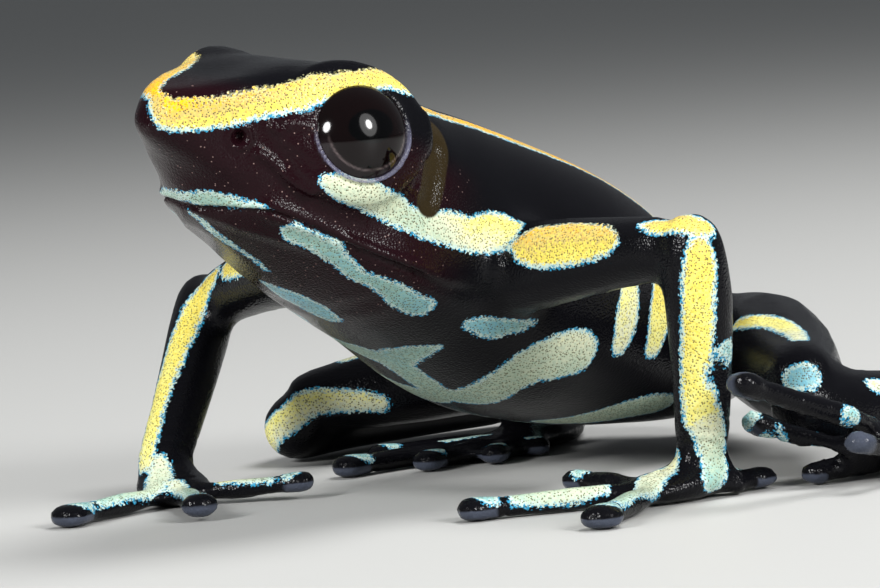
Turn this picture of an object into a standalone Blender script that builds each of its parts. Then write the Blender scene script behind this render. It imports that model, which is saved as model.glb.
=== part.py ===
"""A yellow-striped poison frog, life size, sitting up on its hands with one hind foot half raised.

The frog faces -Y with its left side at +X and rests on the plane z = 0. Sizes are millimetres
until a mesh is made; MM turns them into metres.
"""

import math
from collections import namedtuple

import bmesh
import bpy
from mathutils import Matrix, Vector

MM = 0.001
GAP = 0.3
PRESS = 0.08
SNOUT_HEIGHT = 12.05
BODY_PITCH = math.radians(22.0)
HEAD_ROLL = math.radians(6.6)
ROLL_START = 8.0
ROLL_END = 16.0
BODY_SIDES = 32
RINGS_PER_STATION = 2
SNOUT_TIP = (0.0, -0.12, 0.08)
VENT = (0.0, 26.60, -1.05)
NECK = 9.0
JAW_END = 7.7
MOUTH_FRONT = -1.92
MOUTH_SLOPE = -0.025
EYE_RADIUS = 1.62
EYE_PLACE = (2.82, 4.95, 1.05)
EYE_WAY = (0.88, -0.42, 0.18)
EYE_OPENING = 1.38
LID_PLACE = (2.60, 5.00, 1.20)
LID_RADII = (2.18, 2.60, 2.02)
LOWER_LID_PLACE = (2.62, 4.95, 0.60)
LOWER_LID_RADII = (2.10, 2.10, 1.65)
NOSTRIL_PLACE = (1.60, 1.80, 0.10)
NOSTRIL_RADII = (0.28, 0.24, 0.20)
EAR_RADIUS = 0.82
EAR_PLACE = (3.50, 7.75, 0.55)
EAR_FLOOR = 3.20
LIMB_SIDES = 12
DIGIT_SIDES = 10
FAR = 15.0
SIDES = {"left": 1, "right": -1}

# One ring of the trunk: where it lies behind the snout, the height of its widest line, its lean,
# half its width, how far it rises and drops from the widest line, how much the top narrows, how
# square the upper and lower halves are, and how far the middle of the top is let down.
Station = namedtuple("Station", "along level lean half rise drop narrow upper lower dip")

TRUNK = (
    Station(-0.05, 0.05, 0, 0.45, 0.50, 0.45, 0.00, 2.0, 2.0, 0.00),
    Station(0.15, -0.05, 0, 0.78, 0.88, 0.56, -0.05, 2.6, 2.0, 0.06),
    Station(0.60, -0.20, 0, 1.10, 1.40, 0.60, -0.28, 3.5, 1.8, 0.12),
    Station(1.25, -0.45, 0, 1.38, 2.15, 0.68, -0.38, 4.2, 1.7, 0.13),
    Station(1.95, -0.88, 0, 1.66, 3.05, 0.92, -0.38, 4.5, 1.6, 0.12),
    Station(2.95, -1.45, 0, 2.16, 4.30, 1.04, -0.26, 4.5, 1.4, 0.10),
    Station(4.35, -1.85, 0, 2.88, 5.15, 0.94, -0.03, 4.2, 1.3, 0.06),
    Station(5.95, -1.95, 0, 3.52, 5.20, 1.12, 0.03, 3.6, 1.3, 0.02),
    Station(7.50, -1.80, 0, 4.02, 4.95, 1.60, 0.06, 3.0, 1.6, 0.00),
    Station(9.30, -1.40, 0, 4.18, 4.65, 2.30, 0.06, 2.8, 2.0, 0.00),
    Station(11.20, -1.00, 0, 4.12, 4.35, 2.90, 0.06, 2.7, 2.2, 0.00),
    Station(13.40, -0.90, 0, 4.30, 4.30, 3.45, 0.06, 2.6, 2.3, 0.00),
    Station(15.60, -0.85, 2, 4.35, 4.25, 3.65, 0.06, 2.6, 2.3, 0.00),
    Station(17.80, -0.85, 6, 4.00, 4.10, 3.40, 0.06, 2.6, 2.2, 0.00),
    Station(20.00, -0.90, 14, 3.55, 3.60, 3.05, 0.06, 2.5, 2.2, 0.00),
    Station(22.20, -1.00, 24, 3.10, 2.90, 2.50, 0.05, 2.4, 2.1, 0.00),
    Station(24.20, -1.00, 32, 2.35, 2.10, 1.95, 0.03, 2.2, 2.0, 0.00),
    Station(25.60, -0.90, 38, 1.45, 1.30, 1.35, 0.00, 2.0, 2.0, 0.00),
    Station(26.35, -0.85, 40, 0.55, 0.50, 0.55, 0.00, 2.0, 2.0, 0.00),
)

# A joint of a limb: its place, and half its width and half its thickness there.
Joint = namedtuple("Joint", "x y z wide thick")

UPPER_ARM = {
    "left": (Joint(2.6, 10.4, 6.4, 1.40, 1.55), Joint(5.2, 10.2, 6.8, 1.15, 1.30),
             Joint(8.2, 10.1, 7.1, 0.98, 1.02), Joint(10.6, 10.0, 7.25, 0.84, 0.86)),
    "right": (Joint(-2.6, 9.9, 6.8, 1.40, 1.50), Joint(-5.0, 10.3, 6.75, 1.12, 1.28),
              Joint(-7.6, 11.0, 6.15, 0.98, 1.02), Joint(-9.8, 11.4, 5.4, 0.84, 0.86)),
}
FOREARM = {
    "left": (Joint(10.75, 10.0, 7.3, 0.92, 0.92), Joint(10.7, 10.2, 5.8, 0.98, 1.00),
             Joint(10.2, 10.7, 3.4, 0.86, 0.86), Joint(9.75, 11.0, 1.1, 0.84, 0.72)),
    "right": (Joint(-9.9, 11.4, 5.55, 0.92, 0.92), Joint(-9.5, 10.6, 4.6, 0.98, 1.00),
              Joint(-8.5, 8.5, 2.5, 0.86, 0.86), Joint(-7.7, 6.8, 1.0, 0.84, 0.72)),
}
HAND = {
    "left": (Joint(9.8, 11.35, 0.75, 0.85, 0.62), Joint(9.45, 10.3, 0.55, 1.18, 0.55),
             Joint(9.1, 9.2, 0.45, 1.05, 0.45)),
    "right": (Joint(-7.9, 7.2, 0.75, 0.85, 0.62), Joint(-7.0, 6.6, 0.55, 1.18, 0.55),
              Joint(-6.1, 5.95, 0.45, 1.05, 0.45)),
}

# A digit: where it leaves the hand or foot, the middle of its length, and the middle of its disc.
Digit = namedtuple("Digit", "root middle tip")

FINGERS = {
    "left": (Digit((8.9, 9.9, 0.50), (7.4, 9.7, 0.62), (6.0, 9.9, 0.62)),
             Digit((8.9, 9.3, 0.45), (7.6, 7.5, 0.42), (6.1, 5.4, 0.40)),
             Digit((9.4, 9.3, 0.45), (10.2, 7.3, 0.42), (11.2, 4.9, 0.40)),
             Digit((10.1, 10.4, 0.45), (10.5, 11.6, 0.42), (10.5, 13.0, 0.40))),
    "right": (Digit((-6.4, 6.3, 0.50), (-4.8, 6.9, 0.50), (-3.1, 8.0, 0.62)),
              Digit((-6.3, 6.0, 0.45), (-4.6, 4.9, 0.50), (-2.8, 3.5, 0.55)),
              Digit((-6.6, 6.0, 0.45), (-6.4, 4.0, 0.42), (-6.2, 1.6, 0.40)),
              Digit((-7.6, 6.8, 0.45), (-8.7, 7.3, 0.42), (-9.3, 8.4, 0.40))),
}
FINGER_HALF = (0.33, 0.36, 0.37, 0.34)
FINGER_DISC = (0.50, 0.62, 0.68, 0.58)

THIGH = {
    "left": (Joint(2.2, 22.6, 3.2, 1.50, 1.50), Joint(4.6, 20.6, 3.1, 1.82, 1.75),
             Joint(7.6, 17.8, 2.85, 1.60, 1.50), Joint(10.2, 15.1, 2.95, 1.10, 1.08)),
    "right": (Joint(-2.2, 22.6, 3.25, 1.50, 1.45), Joint(-4.6, 20.7, 3.05, 1.78, 1.62),
              Joint(-7.4, 18.0, 2.40, 1.52, 1.38), Joint(-9.7, 15.6, 1.95, 1.06, 1.02)),
}
SHANK = {
    "left": (Joint(10.5, 14.9, 2.15, 1.10, 1.10), Joint(10.7, 17.4, 1.75, 1.30, 1.20),
             Joint(9.9, 21.0, 1.45, 1.10, 1.05), Joint(8.7, 24.8, 1.0, 0.72, 0.72)),
    "right": (Joint(-10.3, 15.4, 1.20, 1.10, 1.10), Joint(-10.6, 17.8, 1.35, 1.32, 1.22),
              Joint(-10.0, 21.3, 1.25, 1.12, 1.08), Joint(-9.0, 25.0, 0.95, 0.72, 0.72)),
}
TARSUS = {
    "left": (Joint(9.0, 25.4, 0.75, 0.70, 0.68), Joint(11.0, 23.4, 0.64, 0.64, 0.60),
             Joint(12.2, 20.4, 0.60, 0.68, 0.56)),
    "right": (Joint(-8.6, 25.4, 0.75, 0.70, 0.68), Joint(-6.4, 23.7, 0.60, 0.62, 0.55),
              Joint(-4.5, 21.6, 0.55, 0.64, 0.50)),
}
FOOT = {
    "left": (Joint(12.25, 20.1, 0.58, 0.74, 0.54), Joint(12.45, 18.6, 0.54, 0.98, 0.50),
             Joint(12.5, 17.3, 0.52, 1.02, 0.46)),
    "right": (Joint(-4.35, 21.3, 0.54, 0.72, 0.50), Joint(-4.2, 20.0, 0.50, 0.98, 0.46),
              Joint(-4.3, 18.8, 0.50, 1.02, 0.44)),
}
TOES = {
    "left": (Digit((11.9, 17.5, 0.45), (11.9, 16.4, 0.42), (11.6, 15.3, 0.40)),
             Digit((12.1, 17.1, 0.45), (12.1, 15.4, 0.42), (11.4, 13.7, 0.42)),
             Digit((12.4, 17.0, 0.50), (12.1, 14.2, 0.90), (10.2, 12.7, 1.80)),
             Digit((12.6, 17.0, 0.60), (12.7, 13.8, 2.05), (11.9, 10.2, 3.40)),
             Digit((13.0, 17.2, 0.55), (13.7, 15.1, 0.90), (13.8, 12.9, 1.45))),
    "right": (Digit((-3.7, 19.3, 0.45), (-3.1, 18.6, 0.42), (-2.5, 17.9, 0.40)),
              Digit((-3.8, 19.0, 0.45), (-3.1, 17.5, 0.42), (-2.6, 16.0, 0.40)),
              Digit((-4.1, 18.8, 0.45), (-3.9, 16.5, 0.42), (-3.7, 14.2, 0.40)),
              Digit((-4.4, 18.7, 0.45), (-5.0, 15.7, 0.42), (-5.5, 12.6, 0.40)),
              Digit((-4.8, 18.9, 0.45), (-5.8, 17.1, 0.42), (-6.7, 15.3, 0.40))),
}
TOE_HALF = (0.31, 0.34, 0.36, 0.38, 0.34)
TOE_DISC = (0.44, 0.50, 0.56, 0.62, 0.52)

# Colour and roughness of the plain materials.
SKIN_LOOK = ((0.012, 0.010, 0.010), 0.25)
LOOKS = {
    "eye": ((0.004, 0.003, 0.003), 0.05),
    "tympanum": ((0.035, 0.022, 0.012), 0.30),
    "upper": ((0.40, 0.28, 0.03), 0.30),
    "forearm": ((0.62, 0.48, 0.04), 0.30),
}


def body_point(side, along, up):
    """World place of a point given to the left, back from the snout and up from its level.

    The head is rolled, its right side up, and the roll dies out along the neck.
    """
    share = min(max((ROLL_END - along) / (ROLL_END - ROLL_START), 0.0), 1.0)
    roll = HEAD_ROLL * share * share * (3 - 2 * share)
    side, up = side * math.cos(roll) + up * math.sin(roll), up * math.cos(roll) - side * math.sin(roll)
    forward = along * math.cos(BODY_PITCH) + up * math.sin(BODY_PITCH)
    height = SNOUT_HEIGHT - along * math.sin(BODY_PITCH) + up * math.cos(BODY_PITCH)
    return Vector((side, forward, height))


def make_material(name, colour, roughness):
    """A plain glossy material."""
    made = bpy.data.materials.new(name)
    made.use_nodes = True
    shader = made.node_tree.nodes["Principled BSDF"]
    shader.inputs["Base Color"].default_value = (*colour, 1.0)
    shader.inputs["Roughness"].default_value = roughness
    return made


def signed_power(value, power):
    """The power of a number's size, with the number's sign."""
    return math.copysign(abs(value) ** power, value)


def spline(values, step):
    """The Catmull-Rom value at a fractional place in a row of values."""
    index = min(int(step), len(values) - 2)
    part = step - index
    start = values[index]
    end = values[index + 1]
    slope_in = (end - values[max(index - 1, 0)]) / 2
    slope_out = (values[min(index + 2, len(values) - 1)] - start) / 2
    cubic = 2 * start - 2 * end + slope_in + slope_out
    square = 3 * end - 3 * start - 2 * slope_in - slope_out
    return ((cubic * part + square) * part + slope_in) * part + start


def skin_over(name, rings, tips):
    """One closed mesh over a row of rings, with a point beyond each end."""
    mesh = bpy.data.meshes.new(name)
    shape = bmesh.new()
    rows = [[shape.verts.new(point * MM) for point in ring] for ring in rings]
    for row, following in zip(rows, rows[1:]):
        for index in range(len(row)):
            after = (index + 1) % len(row)
            shape.faces.new((row[index], row[after], following[after], following[index]))
    for row, tip in zip((rows[0], rows[-1]), tips):
        middle = shape.verts.new(tip * MM)
        for index in range(len(row)):
            shape.faces.new((row[index], row[(index + 1) % len(row)], middle))
    bmesh.ops.recalc_face_normals(shape, faces=shape.faces)
    shape.to_mesh(mesh)
    shape.free()
    return mesh


def trunk_ring(station, grow):
    """One ring of the trunk, made larger all round by grow."""
    lean = math.radians(station.lean)
    ring = []
    for index in range(BODY_SIDES):
        angle = 2 * math.pi * index / BODY_SIDES
        power = 2 / (station.upper if math.sin(angle) >= 0 else station.lower)
        across = signed_power(math.cos(angle), power)
        height = signed_power(math.sin(angle), power)
        if height > 0:
            height *= 1 - station.dip * (1 - across * across)
        across *= (station.half + grow) * (1 - station.narrow * max(height, 0))
        height *= (station.rise if height >= 0 else station.drop) + grow
        along = station.along + height * math.sin(lean)
        ring.append(body_point(across, along, station.level + height * math.cos(lean)))
    return ring


def trunk_mesh(name, grow=0.0):
    """The head and trunk as one body."""
    rings = []
    for count in range(RINGS_PER_STATION * (len(TRUNK) - 1) + 1):
        step = count / RINGS_PER_STATION
        station = Station(*(spline(column, step) for column in zip(*TRUNK)))
        rings.append(trunk_ring(station, grow))
    return skin_over(name, rings, (body_point(*SNOUT_TIP), body_point(*VENT)))


def limb_mesh(name, joints, sides, rings_per_joint, grow=0.0):
    """A limb's length through its joints, its wide side level, with round ends."""
    steps = rings_per_joint * (len(joints) - 1)
    places = [Joint(*(spline(column, count / rings_per_joint) for column in zip(*joints)))
              for count in range(steps + 1)]
    points = [Vector(place[:3]) for place in places]
    rows = []
    for count, place in enumerate(places):
        forward = (points[min(count + 1, steps)] - points[max(count - 1, 0)]).normalized()
        rows.append((points[count], forward, place.wide + grow, place.thick + grow))
    caps = []
    for (point, forward, wide, thick), way in ((rows[0], -1), (rows[-1], 1)):
        reach = forward * way * min(wide, thick)
        cap = [(point + reach * math.sin(turn), forward, wide * math.cos(turn), thick * math.cos(turn))
               for turn in (math.radians(33), math.radians(66))]
        caps.append((cap, point + reach))
    (front, first), (back, last) = caps
    up = Vector((1, 0, 0)) if abs(rows[0][1].z) > 0.8 else Vector((0, 0, 1))
    rings = []
    for point, forward, wide, thick in front[::-1] + rows + back:
        side = forward.cross(up).normalized()
        up = side.cross(forward).normalized()
        turns = [2 * math.pi * index / sides for index in range(sides)]
        rings.append([point + side * wide * math.cos(turn) + up * thick * math.sin(turn)
                      for turn in turns])
    return skin_over(name, rings, (first, last))


def digit_mesh(name, digit, half, disc, grow=0.0):
    """A finger or toe: slim, knuckled, and spread at the end into a disc."""
    root, middle, tip = (Vector(place) for place in digit)
    way = (tip - middle).normalized()
    waist = tip - way * disc * 1.15
    back = root + (root - middle).normalized() * half
    joints = (Joint(*back, half * 1.15, half * 1.10),
              Joint(*root.lerp(middle, 0.35), half * 1.02, half),
              Joint(*middle, half * 1.12, half * 1.05),
              Joint(*middle.lerp(waist, 0.6), half * 0.95, half * 0.95),
              Joint(*waist, half * 0.98, half * 0.92),
              Joint(*(tip - way * disc * 0.40), disc * 0.92, half * 1.08),
              Joint(*(tip + way * disc * 0.20), disc, half * 1.10))
    return limb_mesh(name, joints, DIGIT_SIDES, 1, grow)


def new_object(name, mesh, collection):
    """An object in a collection."""
    made = bpy.data.objects.new(name, mesh)
    collection.objects.link(made)
    return made


def shaped(name, place, sizes, collection, make, slope=0.0, **options):
    """A primitive stretched and set in the body's own frame, its upper side falling by a slope."""
    mesh = bpy.data.meshes.new(name)
    shape = bmesh.new()
    make(shape, **options)
    for vert in shape.verts:
        side, along, up = (place[axis] + vert.co[axis] * sizes[axis] for axis in range(3))
        up += slope * along if vert.co.z > 0 else 0.0
        vert.co = body_point(side, along, up) * MM
    shape.to_mesh(mesh)
    shape.free()
    return new_object(name, mesh, collection)


def ball(name, place, radii, collection):
    """An egg shape."""
    return shaped(name, place, radii, collection, bmesh.ops.create_uvsphere,
                  u_segments=20, v_segments=12, radius=1.0)


def plug(name, side, radius, inner, outer, collection):
    """A round bar across the ear, between two distances from the middle of the head."""
    turn = Matrix.Rotation(math.pi / 2, 4, "Y")
    place = (side * (inner + outer) / 2, EAR_PLACE[1], EAR_PLACE[2])
    return shaped(name, place, (outer - inner, radius, radius), collection, bmesh.ops.create_cone,
                  cap_ends=True, segments=24, radius1=1.0, radius2=1.0, depth=1.0, matrix=turn)


def opening(side, collection):
    """The gap between the lids: a cone from the middle of the eye outwards."""
    way = Vector((side * EYE_WAY[0], *EYE_WAY[1:])).normalized()
    depth = 2 * EYE_RADIUS
    turn = Matrix.Translation(way * depth / 2) @ way.to_track_quat("Z", "Y").to_matrix().to_4x4()
    return shaped("opening", (side * EYE_PLACE[0], *EYE_PLACE[1:]), (1.0, 1.0, 1.0), collection,
                  bmesh.ops.create_cone, cap_ends=True, segments=28, radius1=EYE_OPENING * 0.55,
                  radius2=EYE_OPENING * 1.45, depth=depth, matrix=turn)


def slab(name, start, end, bottom, top, collection, slope=0.0):
    """A block right across the body."""
    place = (0.0, (start + end) / 2, (bottom + top) / 2)
    return shaped(name, place, (2 * FAR, end - start, top - bottom), collection,
                  bmesh.ops.create_cube, slope=slope, size=1.0)


def keep_largest(mesh):
    """Keep a mesh's largest closed surface."""
    shape = bmesh.new()
    shape.from_mesh(mesh)
    left = set(shape.verts)
    pieces = []
    while left:
        front = [left.pop()]
        piece = list(front)
        while front:
            for edge in front.pop().link_edges:
                found = [vert for vert in edge.verts if vert in left]
                left.difference_update(found)
                piece += found
                front += found
        pieces.append(piece)
    pieces.sort(key=len)
    scraps = [vert for piece in pieces[:-1] for vert in piece]
    bmesh.ops.delete(shape, geom=scraps, context="VERTS")
    shape.to_mesh(mesh)
    shape.free()


def combine(target, others, operation):
    """Join a body with others, or cut it by them, and remove them."""
    group = bpy.data.collections.new("others")
    for other in others:
        group.objects.link(other)
    modifier = target.modifiers.new("combine", "BOOLEAN")
    modifier.operation = operation
    modifier.operand_type = "COLLECTION"
    modifier.collection = group
    bpy.context.view_layer.update()
    evaluated = target.evaluated_get(bpy.context.evaluated_depsgraph_get())
    mesh = bpy.data.meshes.new_from_object(evaluated)
    target.modifiers.clear()
    target.data = mesh
    for other in others:
        bpy.data.objects.remove(other)
    bpy.data.collections.remove(group)
    keep_largest(mesh)


def make_head(frog, cutters):
    """The head and the lower jaw, with lids, eye sockets, nostrils and the pits of the ears."""
    head = new_object("head", trunk_mesh("head"), frog)
    swellings = []
    for side in (1, -1):
        for place, radii in ((LID_PLACE, LID_RADII), (LOWER_LID_PLACE, LOWER_LID_RADII)):
            swellings.append(ball("lid", (side * place[0], *place[1:]), radii, cutters))
    combine(head, swellings, "UNION")
    jaw = new_object("lower_jaw", head.data.copy(), frog)
    combine(jaw, [slab("mouth", -FAR, JAW_END, -FAR, MOUTH_FRONT - GAP / 2, cutters, MOUTH_SLOPE)],
            "INTERSECT")
    hollows = [slab("neck", NECK, 3 * FAR, -FAR, FAR, cutters),
               slab("mouth", -FAR, JAW_END + GAP, -FAR, MOUTH_FRONT + GAP / 2, cutters, MOUTH_SLOPE)]
    socket = EYE_RADIUS + GAP
    for side in (1, -1):
        hollows.append(ball("socket", (side * EYE_PLACE[0], *EYE_PLACE[1:]), (socket,) * 3, cutters))
        hollows.append(opening(side, cutters))
        hollows.append(ball("nostril", (side * NOSTRIL_PLACE[0], *NOSTRIL_PLACE[1:]), NOSTRIL_RADII, cutters))
        hollows.append(plug("ear", side, EAR_RADIUS + GAP, EAR_FLOOR, FAR, cutters))
    combine(head, hollows, "DIFFERENCE")


def make_eyes_and_ears(frog, cutters):
    """The eyeballs, and the ear discs flush with the head round them."""
    for name, side in SIDES.items():
        ball("eye_" + name, (side * EYE_PLACE[0], *EYE_PLACE[1:]), (EYE_RADIUS,) * 3, frog)
        ear = new_object("tympanum_" + name, trunk_mesh("tympanum"), frog)
        combine(ear, [plug("drum", side, EAR_RADIUS, EAR_FLOOR + GAP, FAR, cutters)], "INTERSECT")


def make_torso(frog, cutters):
    """The torso, from the neck to the vent."""
    torso = new_object("torso", trunk_mesh("torso"), frog)
    combine(torso, [slab("neck", -FAR, NECK + GAP, -FAR, FAR, cutters)], "DIFFERENCE")


def make_limb(frog, cutters, name, joints, neighbours):
    """A length of a limb, cut clear of the lengths of limb and the trunk that it meets."""
    limb = new_object(name, limb_mesh(name, joints, LIMB_SIDES, 2), frog)
    others = [new_object("clear", trunk_mesh("clear", GAP), cutters)] if "trunk" in neighbours else []
    for neighbour in neighbours:
        if neighbour != "trunk":
            others.append(new_object("clear", limb_mesh("clear", neighbour, LIMB_SIDES, 2, GAP), cutters))
    if others:
        combine(limb, others, "DIFFERENCE")


def make_digits(frog, cutters, name, side, digits, halves, discs, palm):
    """The fingers or toes of one side, cut clear of the palm and of each other."""
    for number, (digit, half, disc) in enumerate(zip(digits[side], halves, discs)):
        made = new_object(f"{name}_{number + 1}_{side}", digit_mesh(name, digit, half, disc), frog)
        others = [new_object("clear", limb_mesh("clear", palm, LIMB_SIDES, 2, GAP), cutters)]
        if number:
            before = digit_mesh("clear", digits[side][number - 1], halves[number - 1], discs[number - 1], GAP)
            others.append(new_object("clear", before, cutters))
        combine(made, others, "DIFFERENCE")


def finish(frog):
    """Press the frog lightly on the floor, centre it, colour it and smooth it."""
    for thing in frog.objects:
        for vert in thing.data.vertices:
            vert.co.z = max(vert.co.z - PRESS * MM, 0.0)
    corners = [vert.co for thing in frog.objects for vert in thing.data.vertices]
    middle = [(min(co[axis] for co in corners) + max(co[axis] for co in corners)) / 2 for axis in (0, 1)]
    stand = bpy.data.objects.new("frog", None)
    frog.objects.link(stand)
    stand.location = (-middle[0], -middle[1], 0.0)
    for thing in frog.objects:
        if thing.type != "MESH":
            continue
        thing.parent = stand
        colour, roughness = LOOKS.get(thing.name.split("_")[0], SKIN_LOOK)
        thing.data.materials.clear()
        thing.data.materials.append(make_material(thing.name, colour, roughness))
        thing.data.shade_smooth()
        thing.data.set_sharp_from_angle(angle=math.radians(50))


def build():
    """Build every part of the frog."""
    for thing in list(bpy.data.objects):
        bpy.data.objects.remove(thing)
    frog = bpy.data.collections.new("yellow_striped_poison_frog")
    cutters = bpy.data.collections.new("cutters")
    for collection in (frog, cutters):
        bpy.context.scene.collection.children.link(collection)
    make_head(frog, cutters)
    make_eyes_and_ears(frog, cutters)
    make_torso(frog, cutters)
    for side in SIDES:
        make_limb(frog, cutters, "upper_arm_" + side, UPPER_ARM[side], ("trunk", FOREARM[side]))
        make_limb(frog, cutters, "forearm_" + side, FOREARM[side], (HAND[side],))
        make_limb(frog, cutters, "hand_" + side, HAND[side], ())
        make_limb(frog, cutters, "thigh_" + side, THIGH[side], ("trunk", SHANK[side]))
        make_limb(frog, cutters, "shank_" + side, SHANK[side], (TARSUS[side],))
        make_limb(frog, cutters, "tarsus_" + side, TARSUS[side], (FOOT[side],))
        make_limb(frog, cutters, "foot_" + side, FOOT[side], ())
        make_digits(frog, cutters, "finger", side, FINGERS, FINGER_HALF, FINGER_DISC, HAND[side])
        make_digits(frog, cutters, "toe", side, TOES, TOE_HALF, TOE_DISC, FOOT[side])
    bpy.data.collections.remove(cutters)
    finish(frog)


build()
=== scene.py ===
"""A yellow-striped poison frog, life size, sitting up on its hands with one hind foot half raised."""

import math

import bpy
import numpy as np
from mathutils import Matrix, Vector
from mathutils.bvhtree import BVHTree


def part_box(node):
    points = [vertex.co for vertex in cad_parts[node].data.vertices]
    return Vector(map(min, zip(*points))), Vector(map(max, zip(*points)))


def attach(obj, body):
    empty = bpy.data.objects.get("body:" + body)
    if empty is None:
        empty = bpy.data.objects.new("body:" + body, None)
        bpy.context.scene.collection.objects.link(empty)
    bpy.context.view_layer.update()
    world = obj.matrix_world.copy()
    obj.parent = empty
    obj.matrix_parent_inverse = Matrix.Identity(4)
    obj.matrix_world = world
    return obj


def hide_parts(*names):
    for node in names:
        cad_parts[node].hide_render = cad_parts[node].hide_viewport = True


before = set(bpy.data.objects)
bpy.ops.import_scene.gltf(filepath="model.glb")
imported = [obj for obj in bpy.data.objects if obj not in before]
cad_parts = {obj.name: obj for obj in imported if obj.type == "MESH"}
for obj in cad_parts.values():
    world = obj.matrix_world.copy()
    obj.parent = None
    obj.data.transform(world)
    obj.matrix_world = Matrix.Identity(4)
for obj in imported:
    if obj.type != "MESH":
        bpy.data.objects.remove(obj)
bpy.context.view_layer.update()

# The frog's own axes. Its body is raised by 22 degrees and its head rolled by about 7. Places on
# head and trunk are given in millimetres to the left, back from the snout and up in the body's
# own directions; places on the limbs in millimetres from the point below the snout. Searches
# for the nearest distance start from one that is farther off than any on the frog.
MM = 0.001
SNOUT_HEIGHT = 12.05
BODY_PITCH = math.radians(22.0)
HEAD_ROLL = math.radians(6.6)
ROLL_START = 8.0
ROLL_END = 16.0
EYE_PLACE = (2.82, 4.95, 1.05)
EYE_RADIUS = 1.62
EYE_WAY = (0.88, -0.42, 0.18)
FAR_OFF = 9.0


def roll_at(along):
    """How far the body is rolled at a distance behind the snout."""
    share = np.clip((ROLL_END - along) / (ROLL_END - ROLL_START), 0.0, 1.0)
    return HEAD_ROLL * share * share * (3 - 2 * share)


def from_body(places):
    """Limb coordinates of rows of side, along, up."""
    side, along, up = np.asarray(places, float).T
    roll = roll_at(along)
    turned_side = side * np.cos(roll) + up * np.sin(roll)
    turned_up = up * np.cos(roll) - side * np.sin(roll)
    forward = along * math.cos(BODY_PITCH) + turned_up * math.sin(BODY_PITCH)
    height = SNOUT_HEIGHT - along * math.sin(BODY_PITCH) + turned_up * math.cos(BODY_PITCH)
    return np.stack([turned_side, forward, height], 1)


def to_body(points):
    """Side, along and up of rows of limb coordinates."""
    across, forward, height = np.asarray(points, float).T
    height = height - SNOUT_HEIGHT
    along = forward * math.cos(BODY_PITCH) - height * math.sin(BODY_PITCH)
    up = forward * math.sin(BODY_PITCH) + height * math.cos(BODY_PITCH)
    roll = roll_at(along)
    return np.stack([across * np.cos(roll) - up * np.sin(roll), along,
                     up * np.cos(roll) + across * np.sin(roll)], 1)


def box_middle(node):
    """Middle of a node's box."""
    low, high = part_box(node)
    return np.array((low + high) / 2)


ORIGIN = box_middle("eye_left") - from_body([EYE_PLACE])[0] * MM


def read_points(piece):
    """A mesh's points in limb coordinates."""
    flat = np.empty(len(piece.data.vertices) * 3)
    piece.data.vertices.foreach_get("co", flat)
    return (flat.reshape(-1, 3) - ORIGIN) / MM


def write_points(piece, points):
    """Put a mesh's points where they are given in limb coordinates."""
    piece.data.vertices.foreach_set("co", (points * MM + ORIGIN).ravel())
    piece.data.update()


def read_normals(piece):
    """The directions that a mesh's points face."""
    flat = np.empty(len(piece.data.vertices) * 3)
    piece.data.vertex_normals.foreach_get("vector", flat)
    return flat.reshape(-1, 3)


def ease(low, high, values):
    """0 below low, 1 above high and smooth between."""
    share = np.clip((values - low) / (high - low), 0.0, 1.0)
    return share * share * (3 - 2 * share)


def choose(pieces):
    """Select these pieces alone and make the first one active."""
    bpy.ops.object.select_all(action="DESELECT")
    for piece in pieces:
        piece.select_set(True)
    bpy.context.view_layer.objects.active = pieces[0]


def apply_modifier(piece, kind, **settings):
    """Add a modifier and apply it."""
    modifier = piece.modifiers.new(kind.lower(), kind)
    for name, value in settings.items():
        setattr(modifier, name, value)
    choose([piece])
    bpy.ops.object.modifier_apply(modifier=modifier.name)


# The skin. One moist, elastic skin covers head, trunk, limbs and digits without a seam. It is
# drawn over the solids: each is swollen until it meets its neighbours, all are fused into one
# hide, and the hide is let down again and smoothed.
SWELL = 0.17
HIDE_GRAIN = 0.19
SOCKET_FILL = 1.90
MERGE_WITHIN = 0.0000005
bpy.ops.object.select_all(action="DESELECT")
flesh = [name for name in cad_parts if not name.startswith("eye")]
hides = []
for name in flesh:
    copy = bpy.data.objects.new("hide_" + name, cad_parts[name].data.copy())
    bpy.context.scene.collection.objects.link(copy)
    hides.append(copy)
for name in ("eye_left", "eye_right"):
    bpy.ops.mesh.primitive_uv_sphere_add(segments=48, ring_count=24, radius=SOCKET_FILL * MM,
                                         location=box_middle(name))
    bpy.ops.object.transform_apply(location=True, rotation=True, scale=True)
    hides.append(bpy.context.object)
choose(hides)
bpy.ops.object.mode_set(mode="EDIT")
bpy.ops.mesh.select_all(action="SELECT")
bpy.ops.mesh.remove_doubles(threshold=MERGE_WITHIN)
bpy.ops.object.mode_set(mode="OBJECT")

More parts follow.
